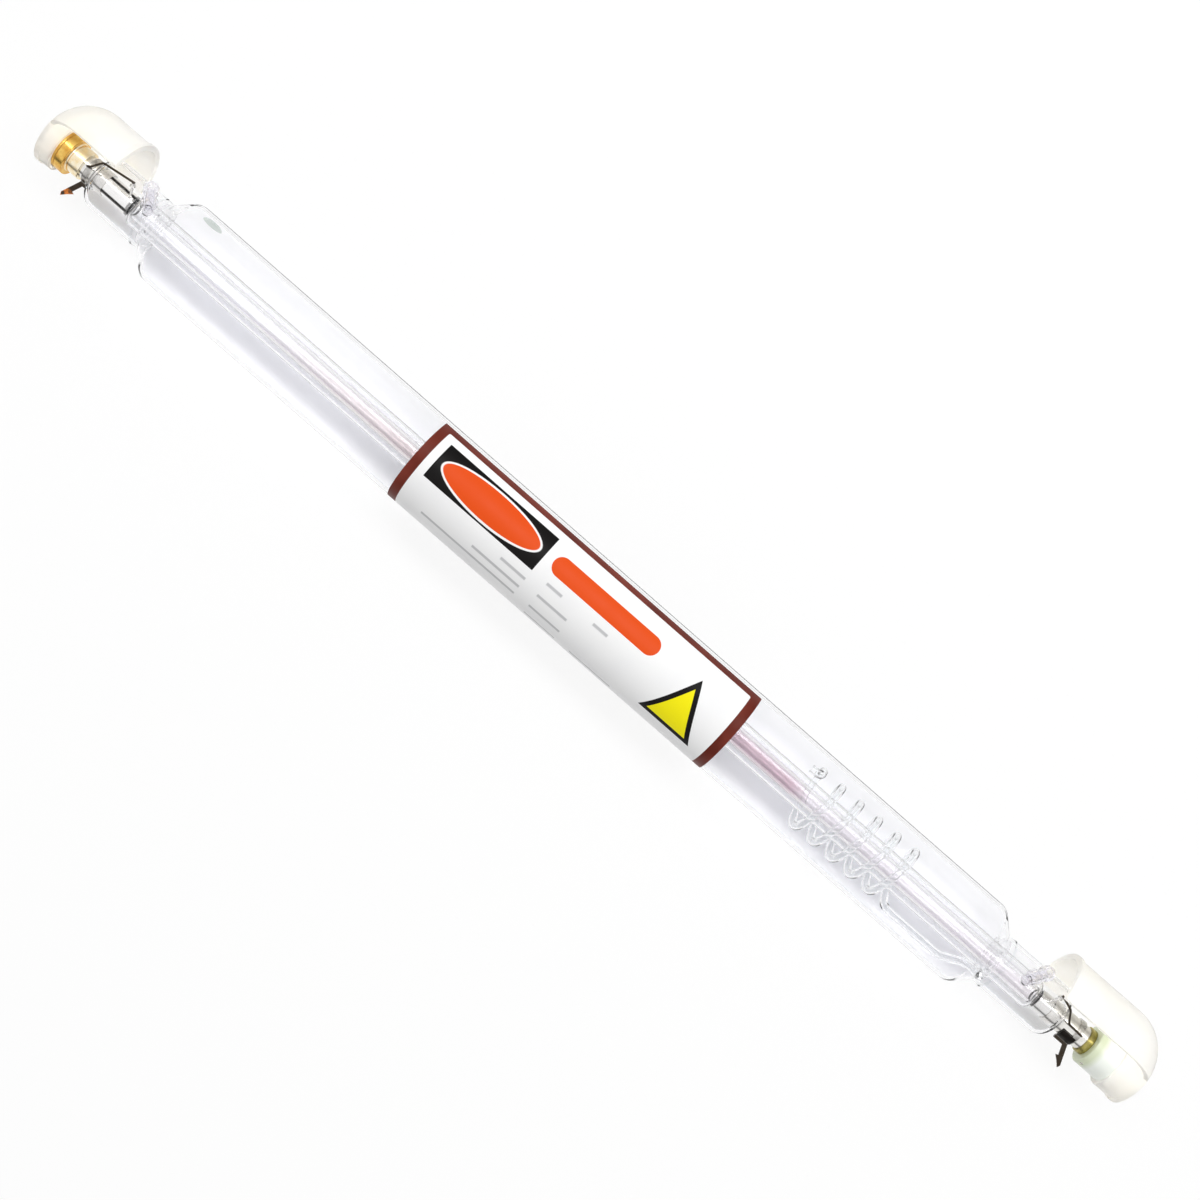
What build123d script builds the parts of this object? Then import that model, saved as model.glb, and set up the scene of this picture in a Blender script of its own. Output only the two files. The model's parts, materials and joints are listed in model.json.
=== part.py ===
"""A sealed CO2 laser tube: a glass discharge tube in its water jacket, inside a gas jacket, with a gold
mirror at the rear end, an output lens at the front end and a cut-away moulded hood over each end.

X is the optical axis. The origin is on that axis, midway between the two hoods' end faces. The output end
is +X, and +Z is up. A place round the axis is an angle in degrees from +Z towards +Y.
Lengths are in millimetres.
"""

import os
from math import atan2, cos, degrees, hypot, radians, sin

from build123d import *

os.makedirs("parts", exist_ok=True)

# ---------------------------------------------------------------- driving dimensions
overall_length = 750.0

# Fits. Fused glass and pushed-on pieces are drawn with these small gaps.
fuse_gap = 0.05
seat_gap = 0.1

# A fillet takes at most this share of the wall it rounds
round_share = 0.9

# Gas jacket: one blown envelope with a shoulder and a neck at each end
jacket_od = 50.0
jacket_wall = 2.0
rear_end_to_jacket = 85.0
front_end_to_jacket = 111.0
shoulder_length = 11.0
shoulder_round = 7.0
neck_od = 30.0
neck_wall = 1.8
neck_root_round = 4.0
neck_end_round = 7.0
rear_neck_length = 40.0
front_neck_length = 47.0

# Water jacket and discharge tube
water_od = 17.0
water_wall = 1.1
water_end_round = 3.0
water_to_electrode = 1.5
bore_od = 10.0
bore_id = 7.0
bore_in_electrode = 1.5
bulkhead_thickness = 2.0

# Gas return coil
coil_tube_od = 4.6
coil_tube_id = 2.6
coil_mean_radius = 15.5
coil_pitch = 12.7
coil_turns = 5.5
coil_to_shoulder = 48.5
coil_lead_angle = -84.0
coil_run_out = 7.0
coil_bend = 5.5
coil_mouth_run = 6.0
coil_drop_start = 22.0
coil_drop_end = 9.0

# Water nozzles, one on each neck
nozzle_angle = 28.0
rear_nozzle_from_electrode = 9.5
front_nozzle_from_electrode = 12.5
nozzle_tube_od = 6.0
nozzle_bore = 4.0
nozzle_bead_od = 8.6
nozzle_olive_od = 8.0
nozzle_olive_land = 3.0
nozzle_height = 15.5

# Seal left where the jacket was pumped out and closed
seal_to_shoulder = 15.0
seal_angle = 52.0
seal_length = 12.0
seal_width = 4.0
seal_height = 2.2

# Electrodes, their sleeves and terminals
electrode_od = 12.0
electrode_wall = 0.5
rear_electrode_length = 19.0
front_electrode_length = 10.0
electrode_lip = 0.9
electrode_in_sleeve = 2.0
sleeve_od = 13.4
sleeve_wall = 0.6
sleeve_in_neck = 7.0
pin_diameter = 1.6
pin_angle = 33.0
pin_stand_out = 2.5
rear_pin_from_neck_end = 21.0
front_pin_from_neck_end = 10.0
clip_width = 3.0
clip_thickness = 0.8
clip_gap_angle = 36.0
clip_ear_height = 1.8
clip_ear_depth = 2.4
rear_clip_ear = 4.0
front_clip_ear = 8.0
tail_length = 14.0
tail_lean = 22.0
tail_width = 2.6
barb_length = 3.0
barb_width = 1.6
wire_diameter = 1.2
wire_bend = 2.4
wire_clear = 2.5

# Rear mirror mount, from its hub outwards
rear_hub_from_neck = 7.7
rear_hub_od = 16.4
rear_hub_length = 8.0
rear_sleeve_seat = 6.8
rear_flange_od = 22.7
rear_flange_thickness = 5.0
mirror_od = 16.0
mirror_thickness = 2.5
mirror_seal_thickness = 1.0
mount_bore = 10.0
rear_cap_thickness = 3.8
rear_cap_bore = 6.0
cap_screw_count = 3
cap_screw_circle = 19.4
cap_screw_od = 1.6
cap_screw_head_od = 2.8
cap_screw_head = 1.4
cap_screw_depth = 3.4
cap_screw_socket = 1.3

# Front flange and lens collar
front_flange_from_neck = 17.0
front_flange_od = 15.2
front_flange_thickness = 3.6
front_sleeve_seat = 2.7
spigot_od = 12.6
spigot_length = 4.4
collar_od = 23.7
collar_length = 17.4
collar_chamfer = 0.8
lens_od = 18.0
lens_edge = 2.6
lens_rise = 0.5
lens_seal_thickness = 1.0
lens_seat_depth = 7.0
retainer_thickness = 2.6
set_screw_count = 3
set_screw_od = 2.0

# Hoods: moulded domes, each with a boss that grips a mount and a shield down one side
hood_od = 56.0
hood_wall = 2.4
hood_end_round = 24.0
hood_rim_height = 0.8
hood_rim_width = 3.0
hood_boss_wall = 2.1
hood_boss_lap = 2.4
hood_boss_step = 0.8
rear_hood_length = 47.0
front_hood_length = 66.0
hood_offset = 2.5
window_from_angle = 20.0
window_to_angle = -200.0
beam_aperture = 12.0

# Label wrapped on the jacket
label_to_shoulder = 171.0
label_length = 215.0
label_thickness = 0.2
label_top_angle = 63.5
label_wrap = 183.5

# ---------------------------------------------------------------- places worked out from them
jacket_r = jacket_od / 2
neck_r = neck_od / 2
neck_inner_r = neck_r - neck_wall
water_r = water_od / 2
bore_r = bore_od / 2
sleeve_r = sleeve_od / 2
electrode_r = electrode_od / 2
hood_r = hood_od / 2
end_x = overall_length / 2

jacket_rear_x = rear_end_to_jacket - end_x
jacket_front_x = end_x - front_end_to_jacket
rear_neck_root = jacket_rear_x - shoulder_length
front_neck_root = jacket_front_x + shoulder_length
rear_neck_end = rear_neck_root - rear_neck_length
front_neck_end = front_neck_root + front_neck_length

# the electrode's outer end laps into the sleeve's inner end
rear_electrode_out = rear_neck_end + sleeve_in_neck - electrode_in_sleeve
front_electrode_out = front_neck_end - sleeve_in_neck + electrode_in_sleeve
rear_electrode_in = rear_electrode_out + rear_electrode_length
front_electrode_in = front_electrode_out - front_electrode_length

rear_nozzle_x = rear_electrode_in + rear_nozzle_from_electrode
front_nozzle_x = front_electrode_in - front_nozzle_from_electrode
rear_pin_x = rear_neck_end + rear_pin_from_neck_end
front_pin_x = front_neck_end - front_pin_from_neck_end

rear_hub_x = rear_neck_end - rear_hub_from_neck
rear_flange_x = rear_hub_x - rear_hub_length
rear_face_x = rear_flange_x - rear_flange_thickness
rear_cap_x = rear_face_x - rear_cap_thickness

front_flange_x = front_neck_end + front_flange_from_neck
collar_x = front_flange_x + front_flange_thickness + fuse_gap
collar_end_x = collar_x + collar_length
lens_seat_x = collar_end_x - lens_seat_depth
lens_x = lens_seat_x + lens_seal_thickness + fuse_gap

rear_clip_x = (rear_neck_end + rear_hub_x) / 2
front_clip_x = front_flange_x - clip_width - wire_clear

# the coil's lead runs into the neck midway between the water jacket and the neck's wall
lead_seat_r = (water_r + neck_inner_r) / 2
coil_front_x = jacket_front_x - coil_to_shoulder
coil_rear_x = coil_front_x - coil_pitch * coil_turns

label_rear_x = jacket_rear_x + label_to_shoulder
seal_x = jacket_rear_x + seal_to_shoulder


# ---------------------------------------------------------------- helpers
def turned(outline, rounds=None):
    """A solid turned round the optical axis from corners (x, radius); rounds gives a corner's fillet."""
    face = make_face(Polyline(*outline, close=True))
    for corner, radius in (rounds or {}).items():
        x, r = outline[corner]
        vertex = face.vertices().sort_by_distance((x, r, 0))[0]
        face = fillet(vertex, radius)
    return revolve(face, Axis.X)


def ring(x0, x1, outer, inner):
    """A plain ring round the optical axis, between two stations and two radii."""
    return turned([(x0, inner), (x1, inner), (x1, outer), (x0, outer)])


def at(x, radius, angle):
    """The point at a station, a radius and an angle from +Z towards +Y."""
    return Vector(x, radius * sin(radians(angle)), radius * cos(radians(angle)))


def upright(shape, x, angle):
    """Moves what was drawn up the Z axis to a station, leaning by an angle from +Z towards +Y."""
    return Pos(x, 0, 0) * Rot(-angle, 0, 0) * shape


def rod(path, radius):
    """A round rod along a path."""
    return sweep(Plane(origin=path @ 0, z_dir=path % 0) * Circle(radius), path=path)


def drill(x, angle, radius, inner, outer):
    """A cutter for a radial hole between two distances from the axis."""
    hole = Cylinder(radius, outer - inner, align=(Align.CENTER, Align.CENTER, Align.MIN))
    return upright(Pos(0, 0, inner) * hole, x, angle)


# ---------------------------------------------------------------- glass
def envelope(inset, end_hole):
    """The gas jacket's outline turned solid, every surface set in by the wall, with its ends open."""
    jr, nr = jacket_r - inset[0], neck_r - inset[1]
    # the inner cone is the outer one shifted so that the shoulder keeps its wall
    slope = hypot(shoulder_length, jacket_r - neck_r) - shoulder_length
    shift = inset[1] * slope / (jacket_r - neck_r) if inset[1] else 0.0
    outline = [
        (rear_neck_end + inset[1], end_hole),
        (rear_neck_end + inset[1], nr),
        (rear_neck_root + shift, nr),
        (jacket_rear_x + shift, jr),
        (jacket_front_x - shift, jr),
        (front_neck_root - shift, nr),
        (front_neck_end - inset[1], nr),
        (front_neck_end - inset[1], end_hole),
    ]
    end_round = min(neck_end_round, round_share * (neck_r - end_hole))
    rounds = {
        1: end_round - inset[1],
        2: neck_root_round + inset[1],
        3: shoulder_round - inset[0],
        4: shoulder_round - inset[0],
        5: neck_root_round + inset[1],
        6: end_round - inset[1],
    }
    return turned(outline, rounds)


def glass_jacket():
    """The blown envelope: full jacket, two shoulders, two necks closed in onto the sleeves."""
    hole = sleeve_r + fuse_gap
    shell = envelope((0, 0), hole) - envelope((jacket_wall, neck_wall), hole)
    for x in (rear_nozzle_x, front_nozzle_x):
        shell -= drill(x, nozzle_angle, nozzle_tube_od / 2 + fuse_gap, water_r, neck_od)
    for x in (rear_pin_x, front_pin_x):
        shell -= drill(x, pin_angle, pin_diameter / 2 + fuse_gap, water_r, neck_od)
    return shell


def water_jacket():
    """The cooling jacket's tube, closed in at both ends onto the discharge tube."""
    x0 = rear_electrode_in + water_to_electrode
    x1 = front_electrode_in - water_to_electrode
    hole = bore_r + fuse_gap
    outer = turned(
        [(x0, hole), (x0, water_r), (x1, water_r), (x1, hole)],
        {1: water_end_round, 2: water_end_round},
    )
    w = water_wall
    inner = turned(
        [(x0 + w, hole), (x0 + w, water_r - w), (x1 - w, water_r - w), (x1 - w, hole)],
        {1: water_end_round - w, 2: water_end_round - w},
    )
    tube = outer - inner
    for x in (rear_nozzle_x, front_nozzle_x):
        tube -= drill(x, nozzle_angle, nozzle_tube_od / 2 + fuse_gap, bore_r, neck_inner_r)
    return tube


def discharge_tube():
    """The narrow tube that the discharge burns in; its fire-polished ends stand in the electrodes."""
    x0 = rear_electrode_in - bore_in_electrode
    x1 = front_electrode_in + bore_in_electrode
    tube = ring(x0, x1, bore_r, bore_id / 2)
    ends = tube.edges().filter_by(GeomType.CIRCLE)
    return fillet(ends, (bore_od - bore_id) / 8)


def bulkhead(root, inward, notch):
    """The fused glass disc that parts a neck from the gas jacket; the front one lets the lead through."""
    x0, x1 = sorted((root, root - inward * bulkhead_thickness))
    disc = ring(x0, x1, neck_inner_r - fuse_gap, water_r + fuse_gap)
    if notch:
        hole = Cylinder(coil_tube_od / 2 + fuse_gap, 4 * bulkhead_thickness)
        disc -= Pos(*at(root, lead_seat_r, coil_lead_angle)) * Rot(0, 90, 0) * hole
    return disc


def coil_paths():
    """The return coil's centre lines: its open mouth, its helix and its lead to the front neck."""
    length = coil_pitch * coil_turns
    turns = Helix(pitch=coil_pitch, height=length, radius=coil_mean_radius, lefthand=True)
    turns = Pos(coil_rear_x, 0, 0) * Rot(0, 90, 0) * turns
    # turned so that the lead, one run-out past the last turn, is at its angle
    end, ahead = turns @ 1, turns % 1
    leave = end + ahead * coil_run_out
    spin = coil_lead_angle - degrees(atan2(leave.Y, leave.Z))
    turns = Rot(-spin, 0, 0) * turns
    end, ahead = turns @ 1, turns % 1
    start, behind = turns @ 0, (turns % 0) * -1
    leave = end + ahead * coil_run_out
    drop_x = front_neck_root - coil_drop_start
    seat_x = front_neck_root - coil_drop_end
    neck_x = front_neck_root + 1.5 * bulkhead_thickness
    lead = FilletPolyline(
        end,
        leave,
        Vector(drop_x, leave.Y, leave.Z),
        at(seat_x, lead_seat_r, coil_lead_angle),
        at(neck_x, lead_seat_r, coil_lead_angle),
        radius=coil_bend,
    )
    turn_out = start + behind * coil_run_out
    mouth = FilletPolyline(
        start, turn_out, turn_out - Vector(coil_mouth_run, 0, 0), radius=coil_bend
    )
    return turns, lead, mouth


def coil_rod(radius):
    """The coil's three lengths as one solid rod."""
    turns, lead, mouth = coil_paths()
    section = Plane(origin=turns @ 0, z_dir=turns % 0) * Circle(radius)
    return sweep(section, path=turns, is_frenet=True) + rod(lead, radius) + rod(mouth, radius)


def return_coil():
    """The gas return: a helix of thin glass tube round the water jacket, open to the gas at its mouth."""
    return coil_rod(coil_tube_od / 2) - coil_rod(coil_tube_id / 2)


def nozzle(x):
    """A glass water nozzle: a stub down to the water jacket, a fused bead and an olive for the hose."""
    root = water_r - water_wall
    tube, bead, olive = nozzle_tube_od / 2, nozzle_bead_od / 2, nozzle_olive_od / 2
    bead_z = neck_r + fuse_gap
    tip = neck_r + nozzle_height
    taper = olive - tube
    land_top = tip - 2 * taper
    land_foot = land_top - nozzle_olive_land
    outline = [
        (nozzle_bore / 2, root),
        (tube, root),
        (tube, bead_z),
        (bead, bead_z),
        (bead, bead_z + bead - tube),
        (tube, bead_z + 2 * (bead - tube)),
        (tube, land_foot - 2 * taper),
        (olive, land_foot),
        (olive, land_top),
        (tube, tip),
        (nozzle_bore / 2, tip),
    ]
    face = make_face(Polyline(*outline, close=True))
    return upright(revolve(Plane.XZ * face, Axis.Z), x, nozzle_angle)


def exhaust_seal():
    """The low glass bead left on the jacket where it was pumped out and sealed off."""
    bead = scale(Sphere(1), (seal_length / 2, seal_width / 2, seal_height))
    bead = upright(Pos(0, 0, jacket_r) * bead, seal_x, seal_angle)
    return bead - ring(seal_x - seal_length, seal_x + seal_length, jacket_r + fuse_gap, 0)


# ---------------------------------------------------------------- electrodes and terminals
def electrode(inner_x, outer_x):
    """A thin metal can with a turned-in lip at the end that faces the discharge."""
    x0, x1 = sorted((inner_x, outer_x))
    can = ring(x0, x1, electrode_r, electrode_r - electrode_wall)
    lip_x = sorted((inner_x, inner_x + (electrode_wall if outer_x > inner_x else -electrode_wall)))
    lip_r = max(electrode_r - electrode_lip, bore_r + fuse_gap)
    return can + ring(*lip_x, electrode_r, lip_r)


def sleeve(inner_x, outer_x):
    """The thin metal sleeve sealed through a neck's end."""
    x0, x1 = sorted((inner_x, outer_x))
    return ring(x0, x1, sleeve_r, sleeve_r - sleeve_wall)


def electrode_pin(x):
    """The lead-in pin, from the electrode out through the neck, with the bead that seals it."""
    r = pin_diameter / 2
    reach = neck_r + pin_stand_out
    shank = Cylinder(r, reach - electrode_r - fuse_gap, align=(Align.CENTER, Align.CENTER, Align.MIN))
    bead = Cone(2 * r, r, r, align=(Align.CENTER, Align.CENTER, Align.MIN))
    pin = Pos(0, 0, electrode_r + fuse_gap) * shank + Pos(0, 0, neck_r + fuse_gap) * bead
    return upright(pin, x, pin_angle)


def terminal_clip(x, outward, ear_length):
    """A sprung band round the sleeve with a folded ear and a flat barbed tail for the supply lead."""
    inner = sleeve_r + fuse_gap
    band = ring(x - clip_width / 2, x + clip_width / 2, inner + clip_thickness, inner)
    mouth = Box(2 * clip_width, 2 * sleeve_r * sin(radians(clip_gap_angle / 2)), sleeve_od)
    band -= Pos(x, 0, -sleeve_r) * mouth
    # the barb stands on the side that faces the jacket
    half, barb = -outward * tail_width / 2, -outward * (tail_width / 2 + barb_width)
    tail = make_face(
        Polyline(
            (-half, clip_thickness / 2),
            (half, clip_thickness / 2),
            (half, -tail_length * 0.55),
            (barb, -tail_length * 0.55),
            (half, -tail_length * 0.55 - barb_length),
            (0, -tail_length),
            (-half, -tail_length + tail_width / 2),
            close=True,
        )
    )
    blade = extrude(tail, clip_thickness / 2, both=True)
    blade = Pos(x, -inner - clip_thickness / 2, 0) * Rot(0, 0, outward * tail_lean) * blade
    blade -= ring(x - clip_width, x + clip_width, inner, 0)
    ear_foot, ear_top = inner + clip_thickness / 2, inner + clip_thickness + clip_ear_height
    ear = Box(ear_length, ear_top - ear_foot, clip_ear_depth)
    ear = fillet(ear.edges(), clip_thickness / 4)
    ear = Pos(x - outward * (ear_length - clip_width) / 2, -(ear_foot + ear_top) / 2, 0) * ear
    return band + blade + ear


def terminal_wire(pin_x, neck_end, clip_x, outward):
    """The stiff bare wire from the electrode's pin, over the neck's rounded end, to the clip's band."""
    r = wire_diameter / 2
    over_pin = neck_r + pin_stand_out + r + fuse_gap
    on_clip = sleeve_r + fuse_gap + clip_thickness + r + fuse_gap
    path = FilletPolyline(
        at(pin_x - outward * 1.5 * r, over_pin, pin_angle),
        at(neck_end - outward * neck_end_round / 2, over_pin, pin_angle * 0.7),
        at(neck_end + outward * wire_clear * 1.4, on_clip + r, pin_angle * 0.2),
        at(clip_x + outward * clip_width / 2, on_clip, pin_angle * 0.1),
        radius=wire_bend,
    )
    return rod(path, r)


# ---------------------------------------------------------------- rear mirror mount
def screw_places():
    """The cap screws' places round the axis."""
    return [at(0, cap_screw_circle / 2, 360 / cap_screw_count * i) for i in range(cap_screw_count)]


def screw_holes(x0, x1, radius):
    """Cutters for the cap screws between two stations."""
    length = abs(x1 - x0)
    hole = Rot(0, 90, 0) * Cylinder(radius, length)
    return [Pos((x0 + x1) / 2, p.Y, p.Z) * hole for p in screw_places()]


def rear_mount():
    """The turned mount: a hub on the sleeve, and a flange with the mirror's pocket in its outer face."""
    pocket_x = rear_face_x + mirror_thickness + mirror_seal_thickness + fuse_gap
    bore_x = rear_hub_x - rear_sleeve_seat
    body = turned(
        [
            (rear_hub_x, sleeve_r + fuse_gap),
            (bore_x, sleeve_r + fuse_gap),
            (bore_x, mount_bore / 2),
            (pocket_x, mount_bore / 2),
            (pocket_x, mirror_od / 2 + seat_gap),
            (rear_face_x, mirror_od / 2 + seat_gap),
            (rear_face_x, rear_flange_od / 2),
            (rear_flange_x, rear_flange_od / 2),
            (rear_flange_x, rear_hub_od / 2),
            (rear_hub_x, rear_hub_od / 2),
        ],
        {6: 0.4, 7: 0.4, 8: 0.8, 9: 0.4},
    )
    for hole in screw_holes(rear_face_x, rear_face_x + cap_screw_depth, cap_screw_od / 2 + fuse_gap):
        body -= hole
    return body


def mirror_seal():
    """The flat ring that the mirror is pressed on."""
    x = rear_face_x + mirror_thickness + fuse_gap / 2
    return ring(x, x + mirror_seal_thickness, mirror_od / 2, mount_bore / 2)


def rear_mirror():
    """The gold-coated reflector, a plain disc with a small bevel."""
    disc = ring(rear_face_x, rear_face_x + mirror_thickness, mirror_od / 2, 0)
    return chamfer(disc.edges().filter_by(GeomType.CIRCLE), 0.2)


def rear_cap():
    """The plate that holds the mirror in its pocket."""
    face_x = rear_face_x - fuse_gap
    plate = turned(
        [
            (face_x, rear_cap_bore / 2),
            (face_x, rear_flange_od / 2),
            (rear_cap_x, rear_flange_od / 2),
            (rear_cap_x, rear_cap_bore / 2),
        ],
        {1: 0.3, 2: 0.6},
    )
    for hole in screw_holes(rear_cap_x - 1, face_x + 1, cap_screw_od / 2 + fuse_gap):
        plate -= hole
    return plate


def cap_screws():
    """The screws that draw the cap onto the mount, with hexagon sockets."""
    foot = rear_face_x + cap_screw_depth - seat_gap
    head_x = rear_cap_x - fuse_gap
    shank = Rot(0, 90, 0) * Cylinder(cap_screw_od / 2, foot - head_x)
    head = Rot(0, 90, 0) * Cylinder(cap_screw_head_od / 2, cap_screw_head)
    socket = Rot(0, 90, 0) * extrude(RegularPolygon(cap_screw_socket / 2, 6), cap_screw_head / 2)
    screws = []
    for p in screw_places():
        screw = Pos((foot + head_x) / 2, p.Y, p.Z) * shank
        screw += Pos(head_x - cap_screw_head / 2, p.Y, p.Z) * head
        screws.append(screw - Pos(head_x - cap_screw_head, p.Y, p.Z) * socket)
    return Compound(children=screws)


# ---------------------------------------------------------------- front flange and lens collar
def front_flange():
    """The flange soldered on the front sleeve, with the spigot that carries the collar."""
    seat_x = front_flange_x + front_sleeve_seat
    disc_end = front_flange_x + front_flange_thickness
    return turned(
        [
            (front_flange_x, sleeve_r + fuse_gap),
            (front_flange_x, front_flange_od / 2),
            (disc_end, front_flange_od / 2),
            (disc_end, spigot_od / 2),
            (disc_end + spigot_length, spigot_od / 2),
            (disc_end + spigot_length, mount_bore / 2),
            (seat_x, mount_bore / 2),
            (seat_x, sleeve_r + fuse_gap),
        ],
        {1: 0.3, 2: 0.3, 4: 0.4},
    )


def lens_collar():
    """The collar that holds the output lens, locked on the spigot by set screws."""
    spigot_end = front_flange_x + front_flange_thickness + spigot_length + seat_gap
    body = turned(
        [
            (collar_x, spigot_od / 2 + fuse_gap),
            (spigot_end, spigot_od / 2 + fuse_gap),
            (spigot_end, mount_bore / 2 + 1),
            (lens_seat_x, mount_bore / 2 + 1),
            (lens_seat_x, lens_od / 2 + fuse_gap),
            (collar_end_x, lens_od / 2 + fuse_gap),
            (collar_end_x, collar_od / 2),
            (collar_x, collar_od / 2),
        ],
        {6: collar_chamfer, 7: collar_chamfer},
    )
    for angle in set_screw_angles():
        body -= drill(set_screw_x(), angle, set_screw_od / 2 + fuse_gap, bore_r, collar_od)
    return body


def set_screw_angles():
    """The set screws' angles; none faces straight up."""
    return [60 + 360 / set_screw_count * i for i in range(set_screw_count)]


def set_screw_x():
    """The set screws' station, at the middle of the spigot."""
    return front_flange_x + front_flange_thickness + spigot_length / 2


def set_screws():
    """The set screws, just under the collar's surface."""
    foot = spigot_od / 2 + fuse_gap
    length = collar_od / 2 - foot - 4 * fuse_gap
    screw = Cylinder(set_screw_od / 2, length, align=(Align.CENTER, Align.CENTER, Align.MIN))
    slot = Box(set_screw_od, set_screw_od / 4, set_screw_od / 4)
    screw = Pos(0, 0, foot) * screw - Pos(0, 0, foot + length) * slot
    return Compound(children=[upright(screw, set_screw_x(), angle) for angle in set_screw_angles()])


def lens_seal():
    """The flat ring between the collar's seat and the lens."""
    x = lens_seat_x + fuse_gap / 2
    return ring(x, x + lens_seal_thickness, lens_od / 2, mount_bore / 2 + 1)


def output_lens():
    """The output lens: flat inside, slightly domed outside within its retaining ring."""
    edge_x = lens_x + lens_edge
    r = lens_od / 2
    dome_r = r - retainer_thickness - seat_gap
    rim = Polyline((edge_x, dome_r), (edge_x, r), (lens_x, r), (lens_x, 0), (edge_x + lens_rise, 0))
    dome = ThreePointArc(
        (edge_x + lens_rise, 0), (edge_x + lens_rise * 0.75, dome_r / 2), (edge_x, dome_r)
    )
    return revolve(make_face([rim, dome]), Axis.X)


def lens_retainer():
    """The screwed ring that holds the lens, with two notches for its key."""
    x = lens_x + lens_edge + fuse_gap
    body = ring(x, x + retainer_thickness, lens_od / 2, lens_od / 2 - retainer_thickness)
    notch = Box(retainer_thickness, lens_od + 1, retainer_thickness / 2)
    return body - Pos(x + retainer_thickness, 0, 0) * notch


# ---------------------------------------------------------------- hoods
def hood(mouth_x, closed_x, boss_to_x, boss_bore):
    """A moulded hood: a domed end, a boss that grips the mount and a shield down one side."""
    out = 1 if closed_x > mouth_x else -1
    lip = mouth_x + out * hood_rim_width
    end_round = min(hood_end_round, round_share * (hood_r - hood_wall))
    outside = turned(
        [
            (closed_x, 0),
            (closed_x, hood_r),
            (lip, hood_r),
            (lip, hood_r + hood_rim_height),
            (mouth_x, hood_r + hood_rim_height),
            (mouth_x, 0),
        ],
        {1: end_round, 3: hood_rim_height / 2, 4: hood_rim_height / 2},
    )
    back, wall_r = closed_x - out * hood_wall, hood_r - hood_wall
    inside = turned(
        [(back, 0), (back, wall_r), (mouth_x - out, wall_r), (mouth_x - out, 0)],
        {1: end_round - hood_wall},
    )
    outside, inside = Pos(0, hood_offset, 0) * outside, Pos(0, hood_offset, 0) * inside
    boss_r = boss_bore + hood_boss_wall
    boss = outside & ring(*sorted((boss_to_x, closed_x - out * hood_wall / 2)), boss_r, boss_bore)
    return outside - inside - window(mouth_x, closed_x, out, boss_r + hood_boss_step) + boss


def window(mouth_x, closed_x, out, inner):
    """The cutter for a hood's window: a wedge from the mouth out through the domed end."""
    x0, x1 = sorted((mouth_x - out * hood_rim_width, closed_x + out * hood_rim_width))
    section = make_face(Polyline((x0, inner), (x1, inner), (x1, hood_od), (x0, hood_od), close=True))
    wedge = revolve(section, Axis.X, revolution_arc=window_from_angle - window_to_angle)
    return Rot(90 - window_from_angle, 0, 0) * wedge


def rear_hood():
    """The rear hood, closed, gripping the mirror's cap."""
    return hood(
        rear_hood_length - end_x,
        -end_x,
        rear_cap_x + hood_boss_lap,
        rear_flange_od / 2 + seat_gap,
    )


def front_hood():
    """The front hood, gripping the lens collar, with a hole for the beam."""
    cup = hood(
        end_x - front_hood_length,
        end_x,
        collar_end_x - hood_boss_lap,
        collar_od / 2 + seat_gap,
    )
    return cup - Pos(end_x, 0, 0) * Rot(0, 90, 0) * Cylinder(beam_aperture / 2, 4 * hood_wall)


def label():
    """The label, a thin sheet wrapped round the jacket."""
    inner = jacket_r + seat_gap
    x1 = label_rear_x + label_length
    section = make_face(
        Polyline(
            (label_rear_x, inner),
            (x1, inner),
            (x1, inner + label_thickness),
            (label_rear_x, inner + label_thickness),
            close=True,
        )
    )
    return Rot(90 - label_top_angle, 0, 0) * revolve(section, Axis.X, revolution_arc=label_wrap)


# ---------------------------------------------------------------- the set of parts
parts = {
    "glass_jacket": glass_jacket(),
    "water_jacket": water_jacket(),
    "discharge_tube": discharge_tube(),
    "return_coil": return_coil(),
    "rear_bulkhead": bulkhead(rear_neck_root, 1, False),
    "front_bulkhead": bulkhead(front_neck_root, -1, True),
    "rear_nozzle": nozzle(rear_nozzle_x),
    "front_nozzle": nozzle(front_nozzle_x),
    "exhaust_seal": exhaust_seal(),
    "rear_electrode": electrode(rear_electrode_in, rear_electrode_out),
    "front_electrode": electrode(front_electrode_in, front_electrode_out),
    "rear_sleeve": sleeve(rear_neck_end + sleeve_in_neck, rear_hub_x - rear_sleeve_seat + seat_gap),
    "front_sleeve": sleeve(front_neck_end - sleeve_in_neck, front_flange_x + front_sleeve_seat - seat_gap),
    "rear_pin": electrode_pin(rear_pin_x),
    "front_pin": electrode_pin(front_pin_x),
    "rear_terminal_clip": terminal_clip(rear_clip_x, -1, rear_clip_ear),
    "front_terminal_clip": terminal_clip(front_clip_x, 1, front_clip_ear),
    "rear_terminal_wire": terminal_wire(rear_pin_x, rear_neck_end, rear_clip_x, -1),
    "front_terminal_wire": terminal_wire(front_pin_x, front_neck_end, front_clip_x, 1),
    "rear_mount": rear_mount(),
    "mirror_seal": mirror_seal(),
    "rear_mirror": rear_mirror(),
    "rear_cap": rear_cap(),
    "cap_screws": cap_screws(),
    "front_flange": front_flange(),
    "lens_collar": lens_collar(),
    "set_screws": set_screws(),
    "lens_seal": lens_seal(),
    "output_lens": output_lens(),
    "lens_retainer": lens_retainer(),
    "rear_hood": rear_hood(),
    "front_hood": front_hood(),
    "label": label(),
}

for name, shape in parts.items():
    export_step(shape, f"parts/{name}.step")
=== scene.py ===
"""Finishes the CO2 laser tube: clear blown glass, its wrapped label, the metal ends and the milky hoods.

It is laid out as an add-on and run as a script. X is the optical axis, +Z is up, and lengths are in metres.
A place round the axis is an angle from +Z towards +Y, as in the part's own source.
"""

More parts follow.
